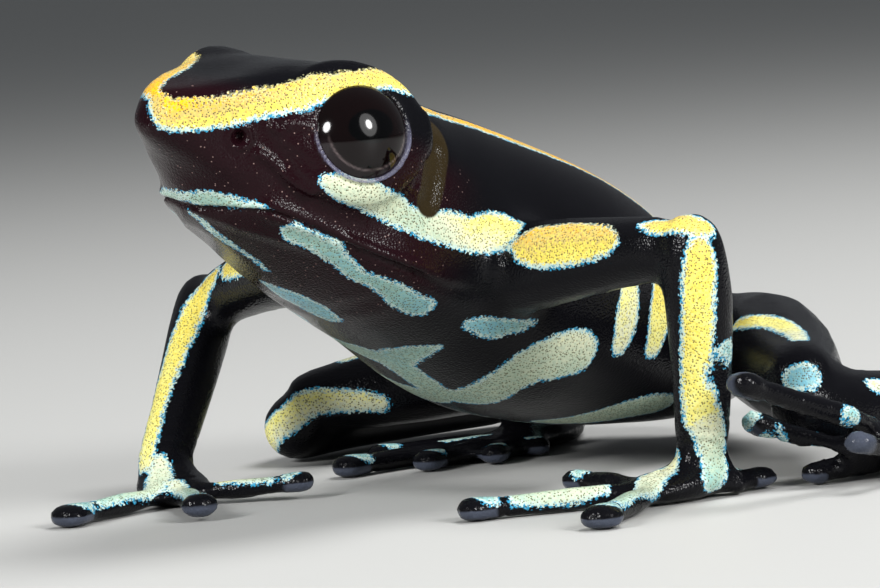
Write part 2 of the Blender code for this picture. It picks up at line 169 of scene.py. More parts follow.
# The tips of the left foot's toes, the finger beside them and the side of the knee are hardly
# swollen, and the tips are moved apart a little, so that they don't grow together.
TIP_MOVES = {"hide_finger_4_left": (-0.22, -0.12, 0.0), "hide_toe_2_left": (0.12, 0.10, 0.0),
             "hide_toe_3_left": (0.22, 0.0, 0.16), "hide_toe_4_left": (0.34, -0.14, 0.0),
             "hide_toe_5_left": (0.10, 0.0, 0.0), "hide_shank_left": (0.0, 0.0, 0.0)}
KNEE_SIDE = (11.0, 14.1, 1.5)
for copy in hides:
    places = read_points(copy)
    share = np.ones(len(places))
    if copy.name in TIP_MOVES:
        if "finger" in copy.name:
            share = 1 - ease(11.5, 12.1, places[:, 1])
        elif "toe" in copy.name:
            share = ease(14.0, 14.9, places[:, 1])
        else:
            share = 0.1 + 0.9 * ease(0.6, 1.5, np.linalg.norm(places - KNEE_SIDE, axis=1))
        places = places + read_normals(copy) * SWELL * share[:, None]
        write_points(copy, places + (1 - share)[:, None] * TIP_MOVES[copy.name])
    else:
        apply_modifier(copy, "DISPLACE", strength=SWELL * MM, mid_level=0.0)
    kept_share = copy.data.attributes.new("swollen", "FLOAT", "POINT")
    kept_share.data.foreach_set("value", share.astype(np.float32))
choose(hides)
bpy.ops.object.join()
skin = bpy.context.object
skin.name = "skin"
skin.data.name = "skin"
skin.data.materials.clear()

# Beside the left foot the hide is let down only as far as the solid under it was swollen.
swollen = np.empty(len(skin.data.vertices), np.float32)
skin.data.attributes["swollen"].data.foreach_get("value", swollen)
sides = [face.vertices[:] for face in skin.data.polygons]
swollen = [swollen[list(side)].mean() for side in sides]
solids = BVHTree.FromPolygons(read_points(skin).tolist(), sides)
apply_modifier(skin, "REMESH", mode="VOXEL", voxel_size=HIDE_GRAIN * MM)
apply_modifier(skin, "SMOOTH", factor=0.5, iterations=4)
points = read_points(skin)
let_down = np.ones(len(points))
by_foot = (points[:, 0] > 8.5) & (points[:, 1] > 8.5) & (points[:, 1] < 15.5) & (points[:, 2] < 5.0)
for index in np.flatnonzero(by_foot).tolist():
    let_down[index] = swollen[solids.find_nearest(points[index].tolist())[2]]
write_points(skin, points - read_normals(skin) * SWELL * let_down[:, None])
apply_modifier(skin, "SMOOTH", factor=0.4, iterations=2)

# The parts nearest the eye of a visitor, head, arms and hands, are worked in twice as fine. The
# back and the belly are only made smoother.
points = read_points(skin)
body = to_body(points)
broad = ease(8.0, 10.0, body[:, 1]) * (1 - ease(3.9, 4.4, np.abs(body[:, 0])))
broad = broad * ease(0.9, 1.6, points[:, 2])
group = skin.vertex_groups.new(name="broad")
for index in np.flatnonzero(broad > 0.02).tolist():
    group.add([index], float(broad[index]), "REPLACE")
apply_modifier(skin, "SMOOTH", factor=0.5, iterations=24, vertex_group="broad")


def eye_frame(side):
    """Middle of an eye, the way it looks, and the way that is upwards on it."""
    middle, ahead = from_body([(side * EYE_PLACE[0], *EYE_PLACE[1:]),
                               (side * (EYE_PLACE[0] + EYE_WAY[0]), EYE_PLACE[1] + EYE_WAY[1],
                                EYE_PLACE[2] + EYE_WAY[2])])
    way = (ahead - middle) / np.linalg.norm(ahead - middle)
    rise = np.array((0.0, 0.0, 1.0)) - way * way[2]
    return middle, way, rise / np.linalg.norm(rise)


def work_finer(chosen):
    """Divide the faces between the chosen points once."""
    ends = np.empty(len(skin.data.edges) * 2, int)
    skin.data.edges.foreach_get("vertices", ends)
    faces = [all(chosen[index] for index in face.vertices) for face in skin.data.polygons]
    skin.data.vertices.foreach_set("select", chosen)
    skin.data.edges.foreach_set("select", chosen[ends.reshape(-1, 2)].all(1))
    skin.data.polygons.foreach_set("select", faces)
    choose([skin])
    bpy.ops.object.mode_set(mode="EDIT")
    bpy.ops.mesh.select_mode(type="FACE")
    bpy.ops.mesh.subdivide(number_cuts=1, smoothness=0.0)
    bpy.ops.object.mode_set(mode="OBJECT")


points = read_points(skin)
fine = (body[:, 1] < 8.6) & (np.abs(body[:, 0]) < 4.9) & (body[:, 2] > -3.4)
fine |= (points[:, 0] > 4.6) & (points[:, 1] < 12.0) & (points[:, 2] < 2.8)
work_finer(fine)
apply_modifier(skin, "SMOOTH", factor=0.5, iterations=3)
points = read_points(skin)
fine = np.zeros(len(points), bool)
for side in (1, -1):
    middle, way, rise = eye_frame(side)
    arms = points - middle
    reach = np.linalg.norm(arms, axis=1)
    ahead = arms @ way / reach
    fine |= (reach < 2.1) & (reach > 1.5) & (ahead > 0.38) & (ahead < 0.70)
work_finer(fine)

# The lids. The brow slopes down to the eyeball and the lower lid is a thin pale edge; inside
# them the skin dives under the ball. They are shaped as heights above the ball's middle.
OPENING_ANGLE = math.radians(56)
LID_THICK = 0.09
points = read_points(skin)
lid_edge = np.full(len(points), FAR_OFF)
low_lid = np.zeros(len(points))
for side in (1, -1):
    middle, way, rise = eye_frame(side)
    arms = points - middle
    reach = np.linalg.norm(arms, axis=1)
    heading = arms / reach[:, None]
    angle = np.arccos(np.clip(heading @ way, -1, 1))
    lift = heading @ rise
    rim = (angle - OPENING_ANGLE) * EYE_RADIUS + 0.10 * ease(0.45, 0.85, lift)
    near = (reach < 3.4) & (rim < 1.2) & (reach > 0.6)
    inside = 1 - ease(-0.08, 0.06, rim)
    hold = 1 - ease(0.02, 0.62, rim)
    edge = EYE_RADIUS + LID_THICK + 0.05 * ease(0.3, -0.4, lift) * np.exp(-((rim - 0.04) / 0.035) ** 2)
    edge -= 0.05 * ease(0.3, -0.4, lift) * np.exp(-((rim - 0.16) / 0.06) ** 2)
    length = reach + (edge - reach) * hold
    length = length * (1 - inside) + (EYE_RADIUS - 0.35) * inside
    points = np.where(near[:, None], middle + heading * length[:, None], points)
    lid_edge = np.where(near, np.minimum(lid_edge, rim), lid_edge)
    low_lid = np.where(near, np.maximum(low_lid, ease(0.25, -0.35, lift)), low_lid)
write_points(skin, points)

# Nostrils, mouth and ears. The nostrils are small pits below the ridge of the snout, the closed
# mouth is a fine groove back to below the ears, and each ear is a thin sunken disc.
points = read_points(skin)
body = to_body(points)
normals = read_normals(skin)
push = np.zeros(len(points))
surface = BVHTree.FromPolygons(points.tolist(), [face.vertices[:] for face in skin.data.polygons])


def laid_on_skin(places):
    """The points of the skin nearest to places."""
    return np.array([surface.find_nearest(place)[0] for place in places.tolist()])


def far_from(spot, side):
    """How far the skin is from a spot that is given for the left side of the body."""
    return np.linalg.norm(points - laid_on_skin(from_body([(side * spot[0], *spot[1:])])), axis=1)


NOSTRIL = ((1.50, 2.02, 0.08), -0.32, 0.15)
GLAND_PIT = ((2.55, 2.50, 0.67), -0.15, 0.10)
BUMPS = ((2.56, 2.99, -0.05), (1.82, 1.99, -0.19))
for side in (1, -1):
    for spot, depth, half in (NOSTRIL, GLAND_PIT):
        far = far_from(spot, side)
        push += depth * np.exp(-(far / half) ** 2) - 0.28 * depth * np.exp(-((far - 2 * half) / 0.09) ** 2)
    for spot in BUMPS:
        push += 0.06 * np.exp(-(far_from(spot, side) / 0.09) ** 2)
MOUTH_ALONG = (1.2, 2.0, 2.4, 2.85, 3.3, 3.8, 4.6, 5.4, 6.5, 8.0, 8.6)
MOUTH_UP = (-2.12, -2.14, -2.13, -1.91, -1.67, -1.68, -1.74, -1.84, -1.92, -1.92, -2.05)
off_mouth = body[:, 2] - np.interp(body[:, 1], MOUTH_ALONG, MOUTH_UP)
in_mouth = ease(0.9, 1.3, body[:, 1]) * (1 - ease(7.6, 8.4, body[:, 1])) * (points[:, 2] > 5.0)
in_mouth *= np.abs(body[:, 0]) < 4.9
push += in_mouth * -0.15 * np.exp(-(off_mouth / 0.07) ** 2)
push += in_mouth * 0.05 * np.exp(-((off_mouth - 0.20) / 0.13) ** 2)


CURVE_STEP = 0.08


def along_curve(rows):
    """Points set close together on a smooth line through rows of numbers."""
    rows = np.asarray(rows, float)
    filled = []
    for index in range(len(rows) - 1):
        before = rows[max(index - 1, 0)]
        start = rows[index]
        end = rows[index + 1]
        after = rows[min(index + 2, len(rows) - 1)]
        count = max(int(np.linalg.norm(end[:3] - start[:3]) / CURVE_STEP), 2)
        for part in np.arange(count) / count:
            slope_in = (end - before) / 2
            slope_out = (after - start) / 2
            cubic = 2 * start - 2 * end + slope_in + slope_out
            square = 3 * end - 3 * start - 2 * slope_in - slope_out
            filled.append(((cubic * part + square) * part + slope_in) * part + start)
    filled.append(rows[-1])
    return np.array(filled)


def near_curve(rows, width):
    """How near the skin is to a curve on both sides of the body: 1 on it and fading over a width."""
    share = np.zeros(len(points))
    for side in (1, -1):
        line = along_curve([(side * row[0], *row[1:]) for row in rows])
        line = laid_on_skin(from_body(line))
        low = line.min(0) - 3 * width
        high = line.max(0) + 3 * width
        close = np.flatnonzero(((points > low) & (points < high)).all(1))
        far = np.full(len(close), FAR_OFF)
        for centre in line:
            far = np.minimum(far, np.linalg.norm(points[close] - centre, axis=1))
        share[close] = np.maximum(share[close], np.exp(-(far / width) ** 2))
    return share


# The face falls in below the ridge of the snout and under the lip. Ridges, folds and hollows
# follow between nostril and eye, behind the mouth and round the ear.
push -= 0.17 * ease(-0.7, -1.5, body[:, 2]) * (1 - ease(2.4, 3.6, body[:, 1])) * (points[:, 2] > 7.0)
push -= 0.13 * ease(-2.2, -2.5, body[:, 2]) * (1 - ease(4.0, 6.5, body[:, 1])) * (points[:, 2] > 6.0)
push += 0.18 * near_curve(((2.06, 2.45, -0.23), (2.22, 2.80, -0.31), (2.41, 3.30, -0.49),
                           (2.74, 3.66, -0.67), (3.03, 3.89, -0.77)), 0.16)
push += 0.10 * near_curve(((2.30, 2.55, 0.62), (2.62, 2.85, 0.80), (2.9, 3.1, 0.85)), 0.20)
push += -0.08 * near_curve(((2.5, 3.1, 0.1), (2.9, 3.2, -0.1), (3.3, 3.5, -0.3)), 0.22)
push += 0.08 * near_curve(((3.31, 5.41, -1.70), (3.56, 6.22, -1.75), (3.9, 7.17, -1.78),
                           (4.1, 8.08, -1.80), (4.1, 9.2, -1.9)), 0.14)
push += -0.09 * near_curve(((3.9, 7.9, -2.0), (4.1, 9.0, -2.1), (4.1, 10.0, -2.0)), 0.14)
push += 0.10 * near_curve(((4.0, 6.6, 2.4), (4.1, 6.95, 1.4), (3.9, 7.1, 0.4)), 0.22)
push += -0.12 * near_curve(((3.6, 7.75, 1.7), (3.85, 7.68, 0.9), (3.95, 7.62, 0.2)), 0.34)

# The creases that ring wrists and digits. A disc starts behind the last crease of its digit.
WRISTS = ((10.25, 10.25, 0.45), (-7.35, 6.75, 0.45))
WRIST_CREASES = ((1.30, 0.07), (1.62, 0.05), (2.15, 0.03))
for wrist in WRISTS:
    far = np.linalg.norm(points - wrist, axis=1)
    for radius, depth in WRIST_CREASES:
        push -= depth * np.exp(-((far - radius) / 0.05) ** 2) * (points[:, 2] > 0.9)
PADS = ((6.0, 9.9, 0.62, 0.50), (6.1, 5.4, 0.40, 0.62), (11.2, 4.9, 0.40, 0.68),
        (10.5, 13.0, 0.40, 0.58), (-3.1, 8.0, 0.62, 0.50), (-2.8, 3.5, 0.55, 0.62),
        (-6.2, 1.6, 0.40, 0.68), (-9.3, 8.4, 0.40, 0.58), (11.6, 15.3, 0.40, 0.44),
        (11.4, 13.7, 0.42, 0.50), (10.2, 12.7, 1.80, 0.56), (11.9, 10.2, 3.40, 0.62),
        (13.8, 12.9, 1.45, 0.52), (-2.5, 17.9, 0.40, 0.44), (-2.6, 16.0, 0.40, 0.50),
        (-3.7, 14.2, 0.40, 0.56), (-5.5, 12.6, 0.40, 0.62), (-6.7, 15.3, 0.40, 0.52))
CREASE_BACK = 1.42
SCALE_BACK = 0.70
SCALE_HALF = 0.78
pad = np.zeros(len(points))
crease = np.full(len(points), FAR_OFF)
plates = []
for x, y, z, half in PADS:
    far = np.linalg.norm(points - (x, y, z), axis=1)
    shaft = points[(far > half * 1.5) & (far < half * 2.0)].mean(0) - (x, y, z)
    shaft /= np.linalg.norm(shaft)
    plates.append((*(np.array((x, y, z + half)) + shaft * half * SCALE_BACK), half * SCALE_HALF))
    under = ease(0.25, -0.15, normals[:, 2]) if z < 1.0 else 0.8
    pad = np.maximum(pad, (1 - ease(half * 0.95, half * 1.3, far)) * under)
    crease = np.minimum(crease, np.abs(far - half * CREASE_BACK))
push -= 0.05 * np.exp(-(crease / 0.05) ** 2)
write_points(skin, points + normals * push[:, None])

points = read_points(skin)
surface = BVHTree.FromPolygons(points.tolist(), [face.vertices[:] for face in skin.data.polygons])

# What the markings leave on the skin: how far a point lies inside a stripe, its place between
# blue and orange, and how blue its edge is. A stripe is laid within a reach of its middle line.
SHADE = 0.13
REACH = 1.8
UNMARKED = -2.0
mark = np.full(len(points), UNMARKED)
warm = np.full(len(points), 0.5)
fringe = np.ones(len(points))


def paint(rows, warmth, own=False, both=False, upper=1.0):
    """Lay a stripe on the skin: rows of place and half width, and how yellow it is at its ends.

    Own says that the places are in the body's axes, and both that the other side has it too.
    Upper is how blue the edge above is; the edge below is always blue. Each stripe is a little
    paler towards its lower edge.
    """
    for side in ((1, -1) if both else (1,)):
        line = along_curve([(side * row[0], *row[1:]) for row in rows])
        centres = from_body(line[:, :3]) if own else line[:, :3]
        centres = laid_on_skin(centres)
        tints = np.linspace(warmth[0], warmth[1], len(line))
        low = centres.min(0) - REACH
        high = centres.max(0) + REACH
        close = np.flatnonzero(((points > low) & (points < high)).all(1))
        inside = np.full(len(close), -FAR_OFF)
        tint = np.zeros(len(close))
        over = np.zeros(len(close))
        for centre, half, hue in zip(centres, line[:, 3], tints):
            depth = half - np.linalg.norm(points[close] - centre, axis=1)
            better = depth > inside
            inside = np.where(better, depth, inside)
            tint = np.where(better, hue, tint)
            over = np.where(better, (points[close, 2] - centre[2]) / half, over)
        nearer = inside > mark[close]
        warm[close] = np.where(nearer, tint + SHADE * np.clip(over, -1, 0.5) * (tint > 0.4), warm[close])
        fringe[close] = np.where(nearer, 1 - (1 - upper) * ease(-0.2, 0.5, over), fringe[close])
        mark[close] = np.where(nearer, inside, mark[close])


# The markings of head and trunk: a yellow line along each side of the back, joined round the
# snout, a cream line below each eye, a mint line on the lip and a mint net on throat and belly.
ORANGE = 1.0
TAN = 0.9
GOLD = 0.8
LEMON = 0.65
CREAM = 0.5
SAGE = 0.3
MINT = 0.15
SKY = 0.0
paint(((2.45, 4.2, -2.1, 0.40), (2.7, 4.5, -2.1, 0.52), (2.9, 5.0, -2.1, 0.50),
       (2.88, 5.5, -2.25, 0.42), (2.86, 5.95, -2.36, 0.36), (2.88, 6.52, -2.46, 0.34),
       (3.08, 7.02, -2.50, 0.34), (3.23, 7.6, -2.56, 0.42), (3.25, 8.3, -2.70, 0.52),
       (3.3, 8.9, -2.75, 0.52)), (MINT, 0.08), own=True, both=True)
mark = np.where((body[:, 1] < 6.0) & (off_mouth > -0.4), np.minimum(mark, -off_mouth), mark)
paint(((0.0, 0.03, 0.46, 0.26), (0.28, -0.02, 0.28, 0.38), (0.65, 0.06, 0.05, 0.50),
       (1.20, 0.62, 0.27, 0.50), (1.64, 1.30, 0.61, 0.48), (2.03, 1.97, 1.06, 0.47),
       (2.57, 2.44, 1.48, 0.48), (3.10, 2.68, 1.80, 0.50), (3.38, 3.0, 2.15, 0.46),
       (3.55, 3.5, 2.50, 0.42)), (TAN, GOLD), own=True, upper=0.1)
paint(((0.0, 0.03, 0.46, 0.26), (-0.35, 0.16, 0.66, 0.34), (-0.75, 0.48, 0.84, 0.46),
       (-1.12, 0.95, 1.08, 0.58), (-1.45, 1.55, 1.42, 0.66), (-1.85, 2.15, 1.75, 0.68),
       (-2.35, 2.62, 2.02, 0.64), (-2.9, 2.92, 2.2, 0.58), (-3.38, 3.1, 2.3, 0.46),
       (-3.55, 3.5, 2.50, 0.42)), (ORANGE, GOLD), own=True, upper=0.0)
paint(((3.55, 3.5, 2.50, 0.42), (3.60, 4.2, 2.80, 0.40), (3.50, 5.1, 3.0, 0.38),
       (3.4, 5.9, 2.92, 0.36)), (GOLD, 0.85), own=True, both=True, upper=0.1)
paint(((3.4, 5.9, 2.92, 0.36), (3.0, 6.8, 2.9, 0.30), (2.4, 7.9, 3.05, 0.28), (2.1, 9.3, 3.2, 0.32),
       (2.1, 12.0, 3.2, 0.38), (2.2, 15.0, 3.2, 0.42), (2.3, 18.0, 2.9, 0.42), (2.2, 21.0, 2.2, 0.38),
       (1.9, 23.5, 1.2, 0.28)), (0.94, ORANGE), own=True, both=True, upper=0.3)
paint(((-2.2, 3.2, -1.62, 0.05), (-1.6, 2.7, -1.74, 0.18), (-1.0, 2.4, -1.87, 0.24),
       (-0.25, 2.12, -1.95, 0.18), (0.29, 2.14, -1.96, 0.28), (0.72, 2.27, -1.92, 0.35),
       (1.21, 2.45, -1.84, 0.31), (1.64, 2.71, -1.75, 0.24), (2.04, 2.99, -1.67, 0.16),
       (2.3, 3.26, -1.62, 0.05)), (0.2, 0.2), own=True)
paint(((-0.4, 2.6, -2.25, 0.10), (-0.05, 2.87, -2.43, 0.20), (0.19, 3.44, -2.59, 0.19),
       (0.24, 4.16, -2.73, 0.17), (0.39, 4.88, -2.83, 0.15), (0.40, 5.5, -2.95, 0.14)),
      (MINT, SKY), own=True)
paint(((3.52, 3.85, -0.50, 0.22), (3.75, 4.2, -0.52, 0.42), (3.95, 4.8, -0.50, 0.54),
       (3.85, 5.8, -0.46, 0.52), (3.77, 6.8, -0.52, 0.46), (3.85, 7.6, -0.62, 0.42)),
      (0.44, 0.34), own=True, both=True)
paint(((3.85, 7.6, -0.62, 0.42), (4.03, 8.43, -0.42, 0.54), (4.01, 9.30, -0.37, 0.56),
       (4.04, 10.16, -0.14, 0.64), (4.33, 10.48, 0.02, 0.55)), (0.36, 0.70), own=True, both=True)
paint(((-0.45, 6.6, -3.15, 0.30), (-0.10, 7.05, -3.30, 0.62), (0.25, 7.6, -3.40, 0.66),
       (0.5, 8.3, -3.52, 0.44)), (SKY, 0.05), own=True)
paint(((-1.6, 9.2, -3.46, 0.30), (-1.9, 9.6, -3.46, 0.34)), (SKY, MINT), own=True)
paint(((3.40, 10.87, -2.76, 0.26), (3.56, 11.58, -2.69, 0.46), (3.76, 12.13, -2.52, 0.36),
       (4.0, 12.8, -2.2, 0.12)), (SKY, MINT), own=True, both=True)
paint(((-0.6, 10.8, -3.82, 0.25), (-0.28, 11.29, -3.90, 0.42), (-0.2, 12.31, -4.11, 0.50),
       (-0.1, 13.3, -4.3, 0.52), (0.5, 13.9, -4.4, 0.60), (1.34, 13.96, -4.30, 0.70),
       (2.56, 13.72, -3.85, 0.72), (3.32, 13.85, -3.35, 0.85), (3.73, 14.41, -3.0, 0.92),
       (3.85, 14.8, -2.8, 0.85)), (MINT, 0.42), own=True, both=True)
paint(((2.25, 11.03, -3.50, 0.16), (1.50, 10.99, -3.72, 0.46), (0.54, 11.27, -3.89, 0.60),
       (-0.1, 11.6, -3.94, 0.50)), (0.2, 0.2), own=True, both=True)
paint(((0.6, 17.6, -3.9, 0.5), (1.6, 18.6, -3.8, 0.8), (2.2, 19.5, -3.3, 0.8), (2.4, 20.6, -2.9, 0.6)),
      (SAGE, SAGE), own=True, both=True)
paint(((4.25, 16.2, -0.4, 0.50), (4.25, 16.35, -1.3, 0.62), (4.15, 16.5, -2.1, 0.42)),
      (0.62, 0.55), own=True, both=True)
paint(((4.05, 18.0, 0.4, 0.52), (4.0, 18.1, -0.6, 0.66), (3.9, 18.2, -1.6, 0.50)),
      (GOLD, LEMON), own=True, both=True)

# The markings of the arms and hands.
paint(((4.87, 9.2, 7.39, 0.22), (5.49, 9.19, 7.40, 0.62), (6.37, 9.2, 7.46, 0.72),
       (7.35, 9.21, 7.50, 0.68), (8.16, 9.22, 7.52, 0.48), (8.62, 9.22, 7.50, 0.22)),
      (TAN, GOLD), upper=0.3)
paint(((9.3, 9.5, 7.95, 0.15), (9.8, 9.55, 7.97, 0.34), (10.40, 9.6, 7.96, 0.46),
       (11.14, 9.58, 7.96, 0.44), (11.47, 9.90, 7.83, 0.36)), (TAN, GOLD))
paint(((11.45, 9.48, 7.25, 0.42), (11.45, 9.45, 6.65, 0.54), (11.30, 9.48, 5.82, 0.55),
       (11.08, 9.60, 4.97, 0.54), (10.83, 9.76, 4.11, 0.53), (10.60, 9.97, 3.25, 0.56),
       (10.50, 10.18, 2.48, 0.62)), (GOLD, LEMON))
paint(((10.50, 10.18, 2.48, 0.62), (10.68, 10.43, 1.96, 0.54), (10.7, 10.7, 1.3, 0.50),
       (10.75, 10.5, 0.7, 0.46)), (0.55, MINT))
paint(((9.35, 10.25, 1.25, 0.34), (9.30, 9.77, 1.15, 0.48), (9.45, 9.1, 1.05, 0.52),
       (9.75, 8.3, 1.05, 0.46), (10.1, 7.4, 1.0, 0.42), (10.45, 6.6, 0.95, 0.40),
       (10.75, 5.95, 0.9, 0.38)), (0.55, 0.20))
paint(((8.40, 8.2, 0.85, 0.30), (8.0, 7.6, 0.82, 0.42), (7.46, 6.95, 0.82, 0.43),
       (6.98, 6.45, 0.82, 0.42), (6.55, 6.1, 0.80, 0.40)), (0.40, 0.26))
paint(((9.6, 11.2, 1.1, 0.25), (10.0, 12.0, 0.9, 0.30)), (LEMON, MINT))
paint(((-5.6, 9.4, 7.2, 0.42), (-6.6, 9.8, 7.0, 0.55), (-7.6, 10.1, 6.8, 0.45)),
      (GOLD, GOLD), upper=0.3)
paint(((-8.5, 10.34, 6.5, 0.40), (-9.18, 10.36, 5.7, 0.46), (-9.1, 9.6, 4.78, 0.48),
       (-8.9, 8.7, 3.84, 0.48), (-8.64, 7.75, 2.92, 0.46), (-8.10, 6.70, 1.90, 0.44),
       (-7.81, 6.2, 1.3, 0.38)), (GOLD, LEMON))
paint(((-7.3, 6.4, 1.3, 0.36), (-6.9, 5.9, 1.15, 0.46), (-6.5, 5.1, 1.0, 0.44),
       (-6.35, 3.9, 0.95, 0.40), (-6.2, 2.7, 0.9, 0.36)), (0.48, MINT))
paint(((-6.0, 5.7, 1.1, 0.30), (-4.8, 4.95, 1.0, 0.36), (-3.6, 4.05, 1.0, 0.34)), (0.5, MINT))
paint(((-5.2, 6.75, 1.1, 0.24), (-4.4, 7.1, 1.1, 0.32), (-3.7, 7.6, 1.1, 0.28)), (LEMON, MINT))

# The markings of the legs and feet.
paint(((5.2, 18.4, 4.2, 0.3), (6.3, 18.0, 4.3, 0.42), (7.5, 17.5, 4.3, 0.45), (8.8, 16.6, 4.1, 0.42),
       (9.8, 15.6, 3.8, 0.3)), (GOLD, CREAM))
paint(((10.62, 14.3, 3.0, 0.42), (10.78, 14.6, 3.0, 0.46)), (SKY, SKY))
paint(((-10.92, 14.67, 0.70, 0.46), (-10.04, 14.38, 1.46, 0.54), (-9.14, 14.76, 1.97, 0.50),
       (-8.27, 15.41, 2.03, 0.42), (-7.43, 16.2, 1.85, 0.36)), (LEMON, CREAM))
paint(((-4.8, 20.2, 4.4, 0.30), (-6.2, 19.0, 4.1, 0.42), (-7.6, 17.6, 3.8, 0.42),
       (-8.9, 16.3, 3.2, 0.30)), (GOLD, CREAM))
for side in (1, -1):
    paint(((side * 11.4, 16.6, 2.4, 0.3), (side * 11.5, 18.4, 2.1, 0.4), (side * 11.0, 20.6, 1.9, 0.38),
           (side * 10.1, 23.0, 1.6, 0.3)), (CREAM, MINT))
paint(((12.0, 22.4, 1.1, 0.25), (12.3, 20.6, 1.0, 0.32), (12.5, 18.9, 0.9, 0.36)), (MINT, MINT))
paint(((-5.6, 23.0, 1.0, 0.25), (-4.6, 21.6, 0.9, 0.30), (-4.3, 20.0, 0.9, 0.36)), (MINT, MINT))
paint(((12.5, 16.4, 1.4, 0.22), (12.7, 14.8, 2.0, 0.24)), (MINT, MINT))
paint(((-4.6, 17.8, 0.8, 0.22), (-4.9, 16.2, 0.8, 0.24)), (MINT, MINT))

# Each disc has a pale blue scale on top between its crease and its black tip.
for x, y, z, half in plates:
    paint(((x, y, z, half), (x + 0.01, y, z, half)), (0.1, 0.1))
# The markings are cut back along each disc's crease, leaving a thin black line there: painted shade in the
# fold.
mark = np.minimum(mark, crease - 0.06)

# The ears are long olive-brown discs, and the face below the yellow line is dark maroon.
body = to_body(points)
ear = np.full(len(points), UNMARKED)
EAR_LINE = ((3.1, 7.75, 2.3), (3.4, 7.85, 1.7), (3.75, 7.72, 1.0), (3.95, 7.62, 0.10))
EAR_HALF = 0.46
for side in (1, -1):
    for centre in from_body(along_curve([(side * row[0], *row[1:]) for row in EAR_LINE])):
        ear = np.maximum(ear, EAR_HALF - np.linalg.norm(points - centre, axis=1))
face = (1 - ease(7.5, 10.0, body[:, 1])) * (1 - ease(0.8, 1.8, body[:, 2])) * (points[:, 2] > 5.0)


def keep_on_skin(name, values):
    """Store one number for each point of the skin, for its material."""
    attribute = skin.data.attributes.new(name, "FLOAT", "POINT")
    attribute.data.foreach_set("value", np.asarray(values, np.float32))


keep_on_skin("mark", np.clip(mark, -1.5, 1.5))
keep_on_skin("warm", warm)
keep_on_skin("pad", pad)
keep_on_skin("fringe", fringe)
keep_on_skin("ear", np.clip(ear, -1.5, 1.5))
keep_on_skin("face", face)
keep_on_skin("rim", np.exp(-((lid_edge - 0.035) / 0.028) ** 2) * low_lid)
choose([skin])
bpy.ops.object.shade_smooth()

# The skin's material: wet, finely grained, black, with the markings edged in white and blue.
hide = bpy.data.materials.new("wet frog skin")
hide.use_nodes = True
nodes = hide.node_tree.nodes
links = hide.node_tree.links
shader = nodes["Principled BSDF"]


def node(kind, **settings):
    """A shader node with its settings."""
    made = nodes.new(kind)
    for name, value in settings.items():
        setattr(made, name, value)
    return made


def value_of(name):
    """The number kept on the skin under a name."""
    return node("ShaderNodeAttribute", attribute_name=name).outputs["Fac"]


def sum_of(operation, first, second, third=None):
    """The result of a sum on two or three values."""
    made = node("ShaderNodeMath", operation=operation)
    for socket, given in zip(made.inputs, (first, second, third)):
        if isinstance(given, (int, float)):
            socket.default_value = given
        elif given is not None:
            links.new(given, socket)
    return made.outputs[0]


def ramp_of(value, low, high):
    """0 at low and 1 at high."""
    made = node("ShaderNodeMapRange", interpolation_type="SMOOTHSTEP")
    links.new(value, made.inputs["Value"])
    made.inputs["From Min"].default_value = low
    made.inputs["From Max"].default_value = high
    return made.outputs["Result"]


def mix_of(share, first, second):
    """One colour over another by a share."""
    made = node("ShaderNodeMix", data_type="RGBA")
    links.new(share, made.inputs["Factor"])
    for socket, given in ((made.inputs["A"], first), (made.inputs["B"], second)):
        if isinstance(given, tuple):
            socket.default_value = (*given, 1.0)
        else:
            links.new(given, socket)
    return made.outputs["Result"]


place = node("ShaderNodeTexCoord").outputs["Object"]


def noise_of(scale):
    """Soft noise with spots about one part in scale of a metre wide."""
    made = node("ShaderNodeTexNoise", noise_dimensions="3D")
    made.inputs["Scale"].default_value = scale
    made.inputs["Detail"].default_value = 3.0
    links.new(place, made.inputs["Vector"])
    return made.outputs["Fac"]


def cells_of(scale):
    """Cells about one part in scale of a metre wide."""
    made = node("ShaderNodeTexVoronoi", feature="F1")
    made.inputs["Scale"].default_value = scale
    links.new(place, made.inputs["Vector"])
    return made.outputs



# The colours of the skin, from the ground and the discs to the edges and dots of the markings.
BLACK = (0.003, 0.003, 0.004)
MAROON = (0.009, 0.0022, 0.0036)
FRECKLE = (0.30, 0.20, 0.18)
DISC_GREY = (0.045, 0.052, 0.072)
WHITE_EDGE = (0.44, 0.56, 0.50)
BLUE_EDGE = (0.02, 0.22, 0.38)
BROWN_EDGE = (0.16, 0.13, 0.03)
DOT = (0.09, 0.08, 0.04)
EAR_BROWN = (0.020, 0.014, 0.006)
LID_GREY = (0.10, 0.10, 0.15)

# Noise breaks the edges of the markings, and small dark cells lie between their lit grains.
fine_noise = noise_of(9000.0)
coarse_noise = noise_of(1500.0)
cloud = noise_of(500.0)
grains = cells_of(14000.0)
needles = cells_of(15000.0)
scatter = node("ShaderNodeSeparateColor")
links.new(needles["Color"], scatter.inputs["Color"])
edge = sum_of("ADD", value_of("mark"), sum_of("MULTIPLY_ADD", fine_noise, 0.12, -0.06))
edge = sum_of("ADD", edge, sum_of("MULTIPLY_ADD", coarse_noise, 0.14, -0.07))
edge = sum_of("ADD", edge, sum_of("MULTIPLY_ADD", scatter.outputs["Red"], 0.11, -0.055))
tint = node("ShaderNodeValToRGB")
stops = tint.color_ramp
stops.elements[0].position = 0.0
stops.elements[0].color = (0.17, 0.40, 0.48, 1)
stops.elements[1].position = 1.0
stops.elements[1].color = (0.86, 0.42, 0.006, 1)
for position, colour in ((0.15, (0.25, 0.42, 0.37)), (0.3, (0.38, 0.48, 0.36)), (0.5, (0.60, 0.62, 0.44)),
                         (0.65, (0.74, 0.70, 0.22)), (0.8, (0.70, 0.56, 0.09)), (0.9, (0.47, 0.37, 0.13))):
    stops.elements.new(position).color = (*colour, 1)
hue = sum_of("ADD", value_of("warm"), sum_of("MULTIPLY_ADD", cloud, 0.20, -0.10))
hue = sum_of("ADD", hue, sum_of("MULTIPLY_ADD", scatter.outputs["Green"], 0.12, -0.06))
